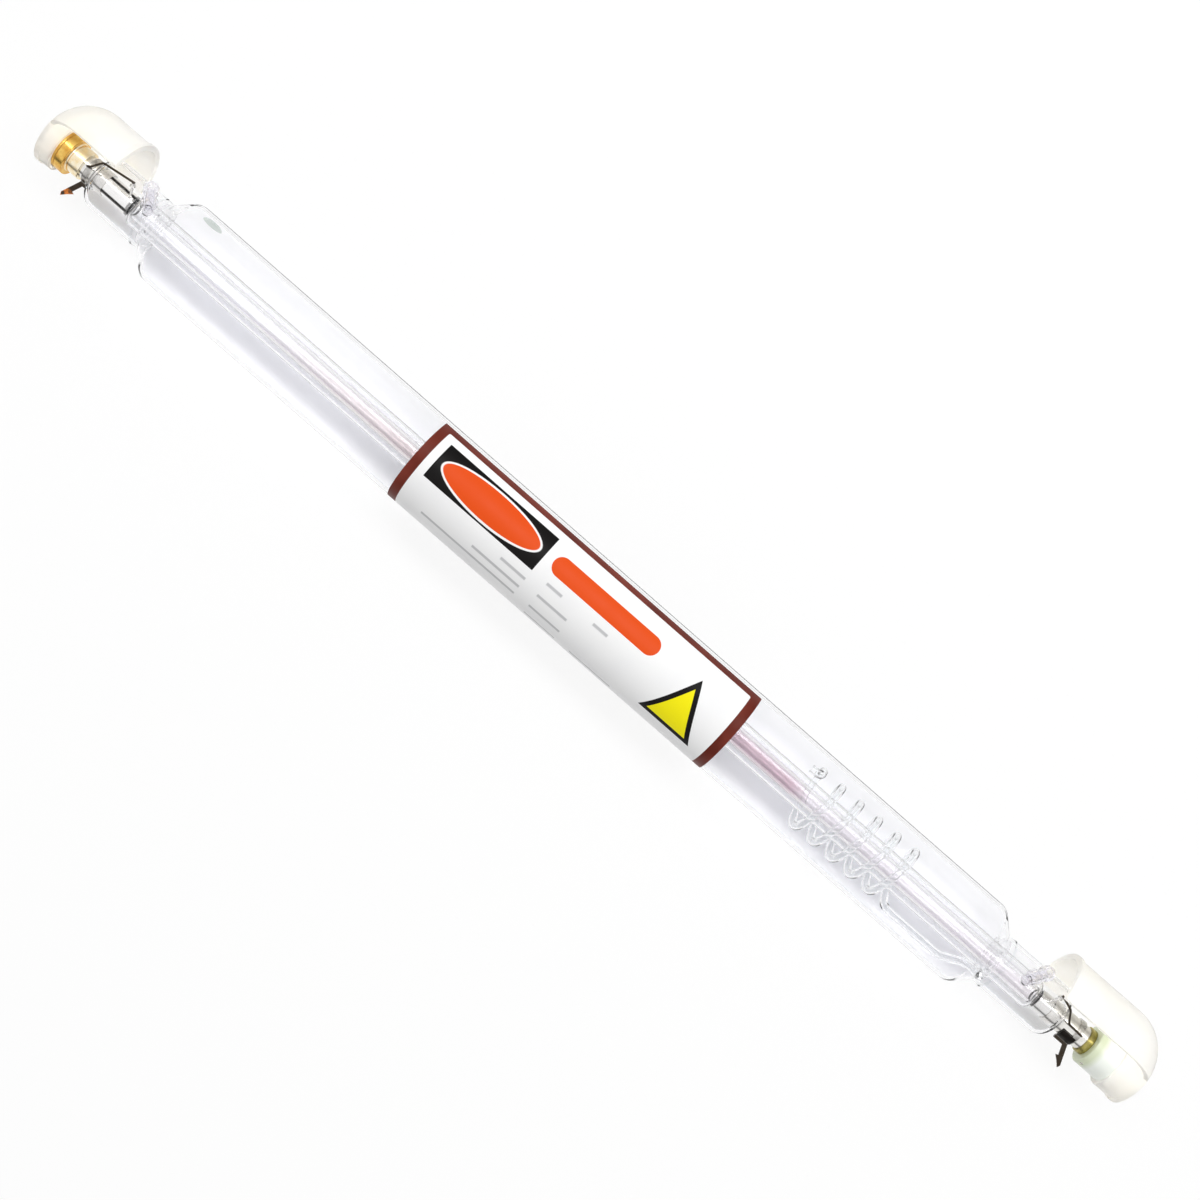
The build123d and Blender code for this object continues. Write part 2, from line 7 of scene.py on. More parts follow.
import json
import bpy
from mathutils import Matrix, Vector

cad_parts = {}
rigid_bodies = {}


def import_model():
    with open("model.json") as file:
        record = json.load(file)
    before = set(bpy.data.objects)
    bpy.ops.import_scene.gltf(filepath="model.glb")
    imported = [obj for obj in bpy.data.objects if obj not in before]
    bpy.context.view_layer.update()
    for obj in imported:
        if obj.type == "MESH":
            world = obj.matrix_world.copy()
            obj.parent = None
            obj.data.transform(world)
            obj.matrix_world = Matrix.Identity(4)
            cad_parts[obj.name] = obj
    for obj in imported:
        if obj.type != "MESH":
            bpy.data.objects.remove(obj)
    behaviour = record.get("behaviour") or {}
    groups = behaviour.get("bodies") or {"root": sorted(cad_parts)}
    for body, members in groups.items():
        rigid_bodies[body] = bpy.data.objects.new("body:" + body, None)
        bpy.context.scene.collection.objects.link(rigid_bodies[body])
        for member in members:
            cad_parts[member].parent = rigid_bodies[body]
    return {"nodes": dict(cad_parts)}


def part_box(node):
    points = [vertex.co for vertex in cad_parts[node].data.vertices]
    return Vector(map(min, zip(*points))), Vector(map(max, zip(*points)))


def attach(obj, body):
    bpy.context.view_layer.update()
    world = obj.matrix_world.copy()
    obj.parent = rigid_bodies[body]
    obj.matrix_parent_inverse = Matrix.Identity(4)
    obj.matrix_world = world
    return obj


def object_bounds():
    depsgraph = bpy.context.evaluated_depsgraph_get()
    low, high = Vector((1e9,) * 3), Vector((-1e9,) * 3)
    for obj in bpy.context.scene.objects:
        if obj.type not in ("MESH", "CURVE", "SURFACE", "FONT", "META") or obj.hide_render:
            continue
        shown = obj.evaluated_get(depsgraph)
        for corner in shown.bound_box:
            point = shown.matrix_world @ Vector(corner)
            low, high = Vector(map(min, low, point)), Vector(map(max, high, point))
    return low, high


bl_info = {
    "name": "Laser Tube Finish",
    "version": (1, 0, 0),
    "blender": (4, 5, 0),
    "location": "View3D > Sidebar > Laser Tube",
    "description": "Glass, label, metal ends and hoods of a sealed CO2 laser tube",
    "category": "Object",
}

from math import cos, pi, radians, sin, tau

import bpy
from mathutils import Vector

for leftover in list(bpy.data.objects):
    bpy.data.objects.remove(leftover)
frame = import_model()
cad_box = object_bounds()

MM = 0.001
BODY = "root"

# Light passes this many walls of glass before it is dropped
BOUNCES = 40
# The height on the sky, 0 at the horizon and 1 overhead, at which its light and its reflection change
SKY_RISE = (0.0, 0.75)
REFLECTED_RISE = (0.22, 0.46)

# Refraction of borosilicate glass, and the lower value that the exhaust seal is drawn with
GLASS_INDEX = 1.47
SEAL_INDEX = 1.1
# What a streak in drawn glass leaves of the wall's colour
STREAK_DEPTH = 0.97
# Heights of the surface marks and the spacing of lathe marks
GLASS_WAVE = 0.0002
METAL_MARK = 0.00005
SKIN_GRAIN = 0.0001
LATHE_PITCH = 0.0004

# The bore's painted label reflection fades over these lengths: past the coil's rear end, before and after
# the label's
REFLECTION_FRONT_FADE = 0.012
REFLECTION_REAR_FADE = (0.12, 0.06)
# Where, across the axis, the painted reflection weakens towards +Y
REFLECTION_SIDE = (0.001, 0.0035)

# Where a finish changes on the metal: radii of the clip's band and barb and of the mount's hub
CLIP_BAND_EDGE = (0.0074, 0.0078)
CLIP_BARB_EDGE = (0.0145, 0.016)
HUB_EDGE = (0.0083, 0.009)
# Painted dark reflections on the can: the side lines' offset and half width; the rear lip where a band
# starts
CAN_REFLECTION_ASIDE = 0.0042
CAN_REFLECTION_EDGE = (0.0005, 0.0009)
CAN_LIP_REFLECTION = (-0.3186, -0.3178)
# Where the collar turns darker and greener, from its inner end
GREEN_END_EDGE = (0.003, 0.0065)
# A value that differs at the two ends changes between these places
ENDS_FADE = (-0.1, 0.1)

# The fused seams in mm along the axis: the neck's root, the sleeve's mouth and the pin
SEAM_PLACES = (("rear", -305.6, -341.4, -320.0), ("front", 279.6, 322.4, 312.0))
# Each bead's radius, its section's radius and how far that is drawn out along the axis
NECK_BEAD = (15.1 * MM, 0.32 * MM, 2.2)
SLEEVE_BEAD = (7.1 * MM, 0.5 * MM, 1.8)
PIN_BEAD = (1.1 * MM, 0.32 * MM, 1.0)
BEAD_SIDES, BEAD_STEPS = 14, 80
# The pins lean from +Z to +Y, and their beads sit on the neck, this many mm from the axis
PIN_LEAN = radians(33.0)
PIN_FOOT = 15.15

# The front clip's saddle
SADDLE_START, SADDLE_LENGTH, SADDLE_RADIUS = 326.2 * MM, 8.2 * MM, 7.5 * MM
SADDLE_WALL, SADDLE_EDGE, SADDLE_STEPS = 0.9 * MM, 0.2 * MM, 120
SADDLE_FROM, SADDLE_TO = radians(-23.0), radians(-71.0)

# The print, in mm along the axis and in degrees round the jacket from +Z to +Y
LABEL_RADIUS = 25.2
LABEL_SPAN = (-120.0, 63.5)
LABEL_BACK_EDGE = (0.02512, 0.02517)
PANEL_BOX = (-108.8, -35.8, -11.9, 39.0)
OVAL_BOX = (-105.3, -39.1, -9.7, 35.4)
BAR_BOX = (-30.5, 39.6, 0.9, 26.7)
# The triangle: its middle, half its width, its bottom and its top; then the widths of the edges in mm
TRIANGLE = (66.1, 17.0, -54.3, 22.8)
OVAL_EDGE, TRIANGLE_EDGE = 1.2, 2.7
# The faint lines: start, end and place round the jacket; and half their height in mm
FAINT_LINES = (
    (-52.0, -35.5, -25.5),
    (-67.3, -35.5, -39.1),
    (-98.5, -35.5, -52.9),
    (-25.7, -15.6, -12.0),
    (5.3, 14.9, -12.0),
    (-25.7, -6.0, -30.7),
    (-25.7, -5.0, -51.4),
    (-25.7, -5.0, -73.0),
    (5.3, 33.0, -73.0),
)
FAINT_HALF = 0.8
# The print's edges are this sharp, as the slope of their blend
PRINT_SHARPNESS = 6.0


def paint(red, green, blue):
    """A colour written as on a paint card, 0 to 255, in the linear values that the shaders use."""

    def linear(value):
        value /= 255.0
        return value / 12.92 if value <= 0.04045 else ((value + 0.055) / 1.055) ** 2.4

    return (linear(red), linear(green), linear(blue))


def colour_property(name, description, default):
    """A colour that a user may change."""
    return bpy.props.FloatVectorProperty(
        name=name, description=description, subtype="COLOR", size=3, min=0.0, max=1.0, default=default
    )


def length_property(name, description, default):
    """A length that a user may change."""
    return bpy.props.FloatProperty(name=name, description=description, unit="LENGTH", default=default)


def number_property(name, description, default):
    """A plain number that a user may change."""
    return bpy.props.FloatProperty(name=name, description=description, default=default)


# ------------------------------------------------------------------------------------------- settings
class StageSettings(bpy.types.PropertyGroup):
    """The floor, lights and camera."""

    floor_colour: colour_property("Floor", "Colour of the floor", (1.0, 1.0, 1.0))
    floor_gap: length_property("Floor gap", "Space between the floor and the part", 0.0002)
    floor_size: length_property("Floor size", "Side of the floor", 60.0)
    floor_glow: bpy.props.FloatProperty(
        name="Floor glow",
        description="Share of the floor that looks plain white",
        default=0.88,
        min=0,
        max=1,
    )
    glass_glow: bpy.props.FloatProperty(
        name="Glow through glass", description="The same share, as glass shows it", default=0.1, min=0, max=1
    )
    backdrop: bpy.props.FloatProperty(
        name="Backdrop", description="Brightness of the backdrop, as the far floor shows", default=0.95
    )
    camera_height: length_property("Camera height", "Height of the camera above the axis", 0.879)
    camera_aside: length_property("Camera aside", "Place of the camera across the axis", 0.0062)
    camera_turn: bpy.props.FloatProperty(
        name="Camera turn", description="Turn of the camera", subtype="ANGLE", default=radians(41.2)
    )
    camera_lens: bpy.props.FloatProperty(name="Lens", description="Focal length in mm", default=50.7)
    key_power: bpy.props.FloatProperty(
        name="Key light", description="Power of the long soft light", subtype="POWER", default=12.5
    )
    key_length: length_property("Key length", "Length of the soft light along the tube", 2.4)
    key_width: length_property("Key width", "Width of the soft light across the tube", 0.3)
    key_distance: length_property("Key distance", "Distance of the soft light", 1.3)
    key_lean: bpy.props.FloatProperty(
        name="Key lean", description="Lean of the light from +Z to +Y", subtype="ANGLE", default=radians(26)
    )
    sky_zenith: bpy.props.FloatProperty(name="Sky", description="Light from above", default=0.62)
    sky_horizon: bpy.props.FloatProperty(name="Horizon", description="Light from the sides", default=0.26)
    mirror_zenith: bpy.props.FloatProperty(
        name="Reflected sky", description="Brightness above, as polished surfaces show it", default=1.0
    )
    mirror_horizon: bpy.props.FloatProperty(
        name="Reflected horizon", description="Brightness of the dark line that metal shows", default=0.2
    )


class GlassSettings(bpy.types.PropertyGroup):
    """The blown glass."""

    jacket_tint: colour_property("Jacket", "Tint of the gas jacket's wall", (0.976, 0.977, 0.986))
    tube_tint: colour_property("Inner tubes", "Tint of the inner tubes' walls", (0.985, 0.985, 0.99))
    # The bore's two colours paint a pink reflection of the label
    bore_label_reflection: colour_property("Bore", "Tint of the discharge tube beside the label", (0.74, 0.61, 0.66))
    rear_label_reflection: colour_property("Rear bore", "The same tint behind the label", (0.77, 0.66, 0.65))
    coil_tint: colour_property("Coil", "Tint of the return coil", (0.985, 0.99, 0.99))
    nozzle_tint: colour_property("Nozzles", "Tint of the water nozzles", (0.91, 0.9, 0.93))
    seal_tint: colour_property("Exhaust seal", "Tint of the seal on the jacket", (0.68, 0.73, 0.69))
    seam_tint: colour_property("Seams", "Tint of the fused seams", (0.94, 0.955, 0.96))
    jacket_shadow: colour_property("Jacket shadow", "What one wall face lets through", (0.972, 0.972, 0.98))
    tube_shadow: colour_property("Tube shadow", "What one inner face lets through", (0.838, 0.838, 0.852))
    jacket_index: number_property("Jacket index", "Refraction of the jacket", 1.12)
    coil_index: number_property("Coil index", "Refraction of the coil", 1.22)
    small_index: number_property("Small index", "Refraction of the nozzles and seams", 1.05)


class LabelSettings(bpy.types.PropertyGroup):
    """The printed label."""

    sheet: colour_property("Sheet", "Colour of the sheet", paint(250, 250, 250))
    border: colour_property("Border", "Colour of the border", paint(98, 36, 25))
    panel: colour_property("Panel", "Colour of the dark panel", paint(14, 12, 12))
    orange: colour_property("Orange", "Colour of the oval and the bar", paint(232, 82, 22))
    yellow: colour_property("Yellow", "Colour of the triangle", paint(252, 240, 20))
    faint: colour_property("Faint lines", "Colour of the faint lines", paint(150, 150, 154))
    border_width: length_property("Border width", "Width of the border", 0.0054)


class MetalSettings(bpy.types.PropertyGroup):
    """The metal ends and the hoods."""

    steel: colour_property("Steel", "Nickel-plated steel", paint(236, 234, 230))
    spring: colour_property("Spring", "Dark spring steel", paint(66, 59, 52))
    gold: colour_property("Gold", "Polished yellow brass", paint(240, 202, 112))
    olive: colour_property("Olive", "Aged brass", paint(178, 166, 98))
    retainer: colour_property("Retaining ring", "Turned aluminium", paint(190, 192, 194))
    collar: colour_property("Collar", "Pale painted collar", paint(247, 251, 244))
    lens: colour_property("Lens", "Amber lens", paint(214, 132, 44))
    seal: colour_property("Seal", "Black rubber", paint(28, 28, 28))
    hood: colour_property("Hood", "Milky plastic", paint(253, 252, 250))


class TubeSettings(bpy.types.PropertyGroup):
    """All that a user may change."""

    stage: bpy.props.PointerProperty(type=StageSettings)
    glass: bpy.props.PointerProperty(type=GlassSettings)
    label: bpy.props.PointerProperty(type=LabelSettings)
    metal: bpy.props.PointerProperty(type=MetalSettings)


def settings():
    """The scene's settings."""
    return bpy.context.scene.laser_tube


# ------------------------------------------------------------------------------------------- node helpers
class Nodes:
    """Places nodes in a tree from left to right and joins them."""

    def __init__(self, tree):
        self.tree = tree
        self.count = 0

    def add(self, kind, inputs=None, **values):
        """A node with its own values, and its inputs set to numbers or joined to sockets."""
        node = self.tree.nodes.new(kind)
        node.location = (self.count * 180, -(self.count % 4) * 160)
        self.count += 1
        for name, value in values.items():
            setattr(node, name, value)
        for name, value in (inputs or {}).items():
            self.feed(node.inputs[name], value)
        return node

    def feed(self, socket, value):
        """Sets or joins one input."""
        if isinstance(value, bpy.types.NodeSocket):
            self.tree.links.new(value, socket)
        elif isinstance(value, bpy.types.Node):
            self.tree.links.new(value.outputs[0], socket)
        elif isinstance(value, tuple) and len(value) == 3 and socket.type == "RGBA":
            socket.default_value = (*value, 1.0)
        else:
            socket.default_value = value

    def math(self, operation, first, second=0.0, third=0.0, clamp=False):
        """One step of arithmetic."""
        return self.add(
            "ShaderNodeMath", {0: first, 1: second, 2: third}, operation=operation, use_clamp=clamp
        ).outputs[0]

    def ramp(self, value, low, high, to_low=0.0, to_high=1.0):
        """Moves a value from one range to another, clamped."""
        return self.add(
            "ShaderNodeMapRange",
            {"Value": value, "From Min": low, "From Max": high, "To Min": to_low, "To Max": to_high},
        ).outputs["Result"]

    def blend(self, factor, first, second):
        """One colour laid over another."""
        node = self.add("ShaderNodeMix", data_type="RGBA")
        self.feed(node.inputs[0], factor)
        self.feed(node.inputs[6], first)
        self.feed(node.inputs[7], second)
        return node.outputs[2]

    def place(self):
        """Object coordinates."""
        return self.add("ShaderNodeTexCoord").outputs["Object"]

    def noise(self, vector, scale, detail=2.0, roughness=0.5):
        """Soft noise."""
        return self.add(
            "ShaderNodeTexNoise",
            {"Vector": vector, "Scale": scale, "Detail": detail, "Roughness": roughness},
        ).outputs["Fac"]


def effect(name, inputs, outputs):
    """A new node group with named sockets, and its inner and outer ends."""
    tree = bpy.data.node_groups.new(name, "ShaderNodeTree")
    for socket, kind, default in inputs:
        made = tree.interface.new_socket(socket, in_out="INPUT", socket_type=kind)
        if default is not None:
            made.default_value = default
    for socket, kind in outputs:
        tree.interface.new_socket(socket, in_out="OUTPUT", socket_type=kind)
    nodes = Nodes(tree)
    return nodes, nodes.add("NodeGroupInput"), nodes.add("NodeGroupOutput")


def use(nodes, name, inputs=None):
    """Places an effect in a material."""
    node = nodes.add("ShaderNodeGroup", node_tree=bpy.data.node_groups[name])
    for socket, value in (inputs or {}).items():
        nodes.feed(node.inputs[socket], value)
    return node


FLOAT, VECTOR = "NodeSocketFloat", "NodeSocketVector"


def make_draw_lines():
    """Drawn glass: faint streaks along the axis and slow waves in the wall."""
    nodes, ends, out = effect(
        "Draw Lines",
        [("Vector", VECTOR, None), ("Pitch", FLOAT, 0.004), ("Length", FLOAT, 0.12)],
        [("Streak", FLOAT), ("Height", FLOAT)],
    )
    across = nodes.math("DIVIDE", 1.0, ends.outputs["Pitch"])
    along = nodes.math("DIVIDE", 1.0, ends.outputs["Length"])
    scale = nodes.add("ShaderNodeCombineXYZ", {"X": along, "Y": across, "Z": across})
    vector = nodes.add(
        "ShaderNodeVectorMath", {0: ends.outputs["Vector"], 1: scale.outputs[0]}, operation="MULTIPLY"
    )
    streak = nodes.noise(vector.outputs[0], 1.0, 3.0, 0.6)
    wave = nodes.noise(ends.outputs["Vector"], 18.0, 1.0)
    nodes.feed(out.inputs["Streak"], nodes.ramp(streak, 0.4, 0.72))
    nodes.feed(out.inputs["Height"], nodes.math("MULTIPLY_ADD", streak, 0.5, wave))


def make_turning_marks():
    """Lathe marks round the axis, and the smears that handling leaves."""
    nodes, ends, out = effect(
        "Turning Marks",
        [("Vector", VECTOR, None), ("Pitch", FLOAT, 0.0004), ("Smear Size", FLOAT, 0.006)],
        [("Mark", FLOAT), ("Smear", FLOAT), ("Height", FLOAT)],
    )
    split = nodes.add("ShaderNodeSeparateXYZ", {0: ends.outputs["Vector"]})
    turns = nodes.math("DIVIDE", split.outputs["X"], ends.outputs["Pitch"])
    radial = nodes.add(
        "ShaderNodeVectorMath", {0: ends.outputs["Vector"], 1: (0.0, 1.0, 1.0)}, operation="MULTIPLY"
    )
    radius = nodes.add("ShaderNodeVectorMath", {0: radial.outputs[0]}, operation="LENGTH")
    rings = nodes.math("DIVIDE", radius.outputs["Value"], ends.outputs["Pitch"])
    both = nodes.add("ShaderNodeCombineXYZ", {"X": turns, "Y": rings})
    mark = nodes.noise(both.outputs[0], 0.8, 2.0, 0.7)
    smear = nodes.noise(ends.outputs["Vector"], nodes.math("DIVIDE", 1.0, ends.outputs["Smear Size"]), 3.0)
    nodes.feed(out.inputs["Mark"], mark)
    nodes.feed(out.inputs["Smear"], nodes.ramp(smear, 0.35, 0.7))
    nodes.feed(out.inputs["Height"], mark)


def make_moulded_skin():
    """Moulded plastic: a fine orange-peel skin and slow cloudiness."""
    nodes, ends, out = effect(
        "Moulded Skin",
        [("Vector", VECTOR, None), ("Grain", FLOAT, 900.0), ("Cloud", FLOAT, 40.0)],
        [("Cloudiness", FLOAT), ("Height", FLOAT)],
    )
    grain = nodes.noise(ends.outputs["Vector"], ends.outputs["Grain"], 2.0)
    cloud = nodes.noise(ends.outputs["Vector"], ends.outputs["Cloud"], 3.0)
    nodes.feed(out.inputs["Cloudiness"], nodes.ramp(cloud, 0.35, 0.7))
    nodes.feed(out.inputs["Height"], grain)


def make_print_box():
    """A printed rectangle with round corners on a sheet measured in millimetres."""
    nodes, ends, out = effect(
        "Print Box",
        [("U", FLOAT, 0.0), ("V", FLOAT, 0.0), ("Left", FLOAT, 0.0), ("Right", FLOAT, 1.0)]
        + [("Bottom", FLOAT, 0.0), ("Top", FLOAT, 1.0), ("Round", FLOAT, 0.2), ("Soft", FLOAT, 0.12)],
        [("Mask", FLOAT)],
    )

    def beyond(place, low, high):
        middle = nodes.math("MULTIPLY", nodes.math("ADD", low, high), 0.5)
        half = nodes.math("MULTIPLY", nodes.math("SUBTRACT", high, low), 0.5)
        away = nodes.math("ABSOLUTE", nodes.math("SUBTRACT", place, middle))
        return nodes.math("SUBTRACT", away, nodes.math("SUBTRACT", half, ends.outputs["Round"]))

    across = beyond(ends.outputs["U"], ends.outputs["Left"], ends.outputs["Right"])
    upward = beyond(ends.outputs["V"], ends.outputs["Bottom"], ends.outputs["Top"])
    corner = nodes.add(
        "ShaderNodeCombineXYZ",
        {"X": nodes.math("MAXIMUM", across, 0.0), "Y": nodes.math("MAXIMUM", upward, 0.0)},
    )
    outside = nodes.add("ShaderNodeVectorMath", {0: corner.outputs[0]}, operation="LENGTH").outputs["Value"]
    inside = nodes.math("MINIMUM", nodes.math("MAXIMUM", across, upward), 0.0)
    distance = nodes.math("SUBTRACT", nodes.math("ADD", outside, inside), ends.outputs["Round"])
    share = nodes.math("DIVIDE", distance, ends.outputs["Soft"])
    nodes.feed(out.inputs["Mask"], nodes.math("SUBTRACT", 0.5, share, clamp=True))


def make_effects():
    """The effects that the materials share."""
    make_draw_lines()
    make_turning_marks()
    make_moulded_skin()
    make_print_box()


# ------------------------------------------------------------------------------------------- materials
def new_material(name):
    """An empty material, its nodes and its output."""
    material = bpy.data.materials.new(name)
    material.use_nodes = True
    material.node_tree.nodes.clear()
    nodes = Nodes(material.node_tree)
    return material, nodes, nodes.add("ShaderNodeOutputMaterial")


def principled(nodes, **plain):
    """A Principled BSDF with plain values."""
    shader = nodes.add("ShaderNodeBsdfPrincipled")
    for name, value in plain.items():
        nodes.feed(shader.inputs[name.replace("_", " ")], value)
    return shader


def surface(nodes, out, colour, roughness, normal, **plain):
    """Joins a Principled BSDF with this colour, roughness and normal to the output."""
    shader = principled(nodes, **plain)
    nodes.feed(shader.inputs["Base Color"], colour)
    nodes.feed(shader.inputs["Roughness"], roughness)
    nodes.feed(shader.inputs["Normal"], normal)
    nodes.feed(out.inputs["Surface"], shader)


def metal_surface(nodes, out, marks, colour, low, high):
    """Joins a metal to the output, with its turning marks and a roughness that follows the smears."""
    rough = nodes.ramp(marks.outputs["Smear"], 0.0, 1.0, low, high)
    surface(nodes, out, colour, rough, bump(nodes, marks.outputs["Height"], 0.25, METAL_MARK), Metallic=1.0)


def along_axis(nodes):
    """The place along the optical axis, in metres."""
    return nodes.add("ShaderNodeSeparateXYZ", {0: nodes.place()}).outputs["X"]


def by_end(nodes, rear, front):
    """One value at the rear end and another at the front end."""
    return nodes.ramp(along_axis(nodes), *ENDS_FADE, rear, front)


def bump(nodes, height, strength, distance):
    """A Bump node's normal."""
    return nodes.add(
        "ShaderNodeBump", {"Height": height, "Strength": strength, "Distance": distance}
    ).outputs["Normal"]


def glass_material(name, tint, shadow, pitch, wave=0.12, index=GLASS_INDEX):
    """Blown glass that lets the lamps through to what is behind it."""
    material, nodes, out = new_material(name)
    place = nodes.place()
    lines = use(nodes, "Draw Lines", {"Vector": place, "Pitch": pitch})
    colour = nodes.blend(lines.outputs["Streak"], tint, tuple(STREAK_DEPTH * value for value in tint))
    shader = principled(nodes, IOR=index, Transmission_Weight=1.0, Roughness=0.0)
    nodes.feed(shader.inputs["Base Color"], colour)
    nodes.feed(shader.inputs["Normal"], bump(nodes, lines.outputs["Height"], wave, GLASS_WAVE))
    let_lamps_through(nodes, shader, out, shadow)
    return material


def let_lamps_through(nodes, shader, out, tint):
    """Joins a glass shader to the output, with plain tinted transparency for rays from the lamps."""
    path = nodes.add("ShaderNodeLightPath")
    clear = nodes.add("ShaderNodeBsdfTransparent", {"Color": tint})
    mix = nodes.add("ShaderNodeMixShader", {0: path.outputs["Is Shadow Ray"], 1: shader, 2: clear})
    nodes.feed(out.inputs["Surface"], mix)


def bore_material():
    """The discharge tube's glass, with a painted pink reflection of the label beside it, weaker towards +Y,
    and clear towards its ends.
    """
    look = settings().glass
    material, nodes, out = new_material("bore_glass")
    place = nodes.place()
    split = nodes.add("ShaderNodeSeparateXYZ", {0: place})
    along = split.outputs["X"]
    low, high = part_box("label")
    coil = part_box("return_coil")[0].x
    # painted reflection of the label: pink near it, fading along the axis and weaker towards +Y
    before, after = REFLECTION_REAR_FADE
    front = nodes.ramp(along, coil, coil + REFLECTION_FRONT_FADE, 1.0, 0.2)
    rear = nodes.ramp(along, low.x - before, low.x + after, 0.02, 1.0)
    fade = nodes.math("MINIMUM", front, rear)
    side = nodes.ramp(split.outputs["Y"], *REFLECTION_SIDE, 1.0, 0.3)
    lines = use(nodes, "Draw Lines", {"Vector": place, "Pitch": 0.002})
    uneven = nodes.math("MULTIPLY", side, nodes.ramp(lines.outputs["Streak"], 0.0, 1.0, 0.8, 1.0))
    label_reflection = nodes.blend(nodes.ramp(along, low.x, high.x), look.rear_label_reflection[:], look.bore_label_reflection[:])
    colour = nodes.blend(nodes.math("MULTIPLY", fade, uneven), look.tube_tint[:], label_reflection)
    shader = principled(nodes, IOR=GLASS_INDEX, Transmission_Weight=1.0, Roughness=0.0)
    nodes.feed(shader.inputs["Base Color"], colour)
    nodes.feed(shader.inputs["Normal"], bump(nodes, lines.outputs["Height"], 0.1, GLASS_WAVE))
    let_lamps_through(nodes, shader, out, look.tube_shadow[:])
    return material


def metal_material(name, colour, roughness, worn):
    """Turned or drawn metal with fine marks and handling smears."""
    material, nodes, out = new_material(name)
    marks = use(nodes, "Turning Marks", {"Vector": nodes.place(), "Pitch": LATHE_PITCH})
    tone = nodes.blend(nodes.math("MULTIPLY", marks.outputs["Smear"], 0.6), colour, worn)
    metal_surface(nodes, out, marks, tone, roughness, roughness + 0.14)
    return material


def rubber_material():
    """The black moulded rubber of the two seal rings."""
    material, nodes, out = new_material("black_seal")
    skin = use(nodes, "Moulded Skin", {"Vector": nodes.place()})
    cloud = skin.outputs["Cloudiness"]
    tone = nodes.blend(cloud, settings().metal.seal[:], paint(44, 44, 44))
    rough = nodes.ramp(cloud, 0.0, 1.0, 0.6, 0.7)
    grain = bump(nodes, skin.outputs["Height"], 0.1, SKIN_GRAIN)
    surface(nodes, out, tone, rough, grain, Specular_IOR_Level=0.4)
    return material


def radius_of(nodes):
    """The distance from the optical axis, in metres."""
    flat = nodes.add("ShaderNodeVectorMath", {0: nodes.place(), 1: (0.0, 1.0, 1.0)}, operation="MULTIPLY")
    return nodes.add("ShaderNodeVectorMath", {0: flat.outputs[0]}, operation="LENGTH").outputs["Value"]


def clip_material():
    """Spring steel: bright where the band is rubbed, dark on the ear and tail, gilt on the rear barb."""
    look = settings().metal
    material, nodes, out = new_material("dark_spring_clip")
    marks = use(nodes, "Turning Marks", {"Vector": nodes.place(), "Pitch": 0.0005, "Smear Size": 0.003})
    smear = marks.outputs["Smear"]
    radius = radius_of(nodes)
    dark = nodes.blend(smear, look.spring[:], paint(52, 44, 36))
    band = nodes.blend(nodes.math("MULTIPLY", smear, 0.5), look.steel[:], look.spring[:])
    tone = nodes.blend(nodes.ramp(radius, *CLIP_BAND_EDGE), band, dark)
    gilt = nodes.math("MULTIPLY", nodes.ramp(radius, *CLIP_BARB_EDGE), nodes.ramp(smear, 0.0, 0.5))
    # only the rear barb keeps its gilt
    kept = by_end(nodes, 0.75, 0.0)
    tone = nodes.blend(nodes.math("MULTIPLY", gilt, kept), tone, paint(226, 132, 60))
    metal_surface(nodes, out, marks, tone, 0.18, 0.34)
    return material


def can_material():
    """The electrode's bright can, with painted dark reflections on its top half, faint on the front can: a
    line down each side and a band from the rear can's lip forward.
    """
    look = settings().metal
    material, nodes, out = new_material("bright_can")
    marks = use(nodes, "Turning Marks", {"Vector": nodes.place()})
    smear = marks.outputs["Smear"]
    split = nodes.add("ShaderNodeSeparateXYZ", {0: nodes.place()})
    # painted reflection: a dark line down each side and a band from the rear can's lip forward, on the top
    # half only
    away = nodes.math("SUBTRACT", nodes.math("ABSOLUTE", split.outputs["Y"]), CAN_REFLECTION_ASIDE)
    seam = nodes.ramp(nodes.math("ABSOLUTE", away), *CAN_REFLECTION_EDGE, 1.0, 0.0)
    lip_reflection = nodes.ramp(split.outputs["X"], *CAN_LIP_REFLECTION)
    dark = nodes.math("MAXIMUM", seam, nodes.math("MULTIPLY", lip_reflection, 0.7))
    dark = nodes.math("MULTIPLY", dark, nodes.ramp(split.outputs["Z"], 0.0, 0.001))
    dark = nodes.math("MULTIPLY", dark, by_end(nodes, 1.0, 0.25))
    dark = nodes.math("MULTIPLY", dark, nodes.ramp(smear, 0.0, 1.0, 1.0, 0.86))
    tone = nodes.blend(nodes.math("MULTIPLY", smear, 0.5), paint(253, 252, 250), look.steel[:])
    metal_surface(nodes, out, marks, nodes.blend(dark, tone, paint(26, 21, 19)), 0.12, 0.22)
    return material


def mount_material():
    """Yellow brass: rich on the flange and rubbed pale on the hub."""
    look = settings().metal
    material, nodes, out = new_material("gold_brass")
    marks = use(nodes, "Turning Marks", {"Vector": nodes.place(), "Smear Size": 0.005})
    smear = marks.outputs["Smear"]
    rich = nodes.blend(smear, look.gold[:], paint(216, 160, 70))
    pale = nodes.blend(nodes.math("MULTIPLY", smear, 0.6), paint(250, 242, 222), look.gold[:])
    tone = nodes.blend(nodes.ramp(radius_of(nodes), *HUB_EDGE), pale, rich)
    metal_surface(nodes, out, marks, tone, 0.14, 0.26)
    return material


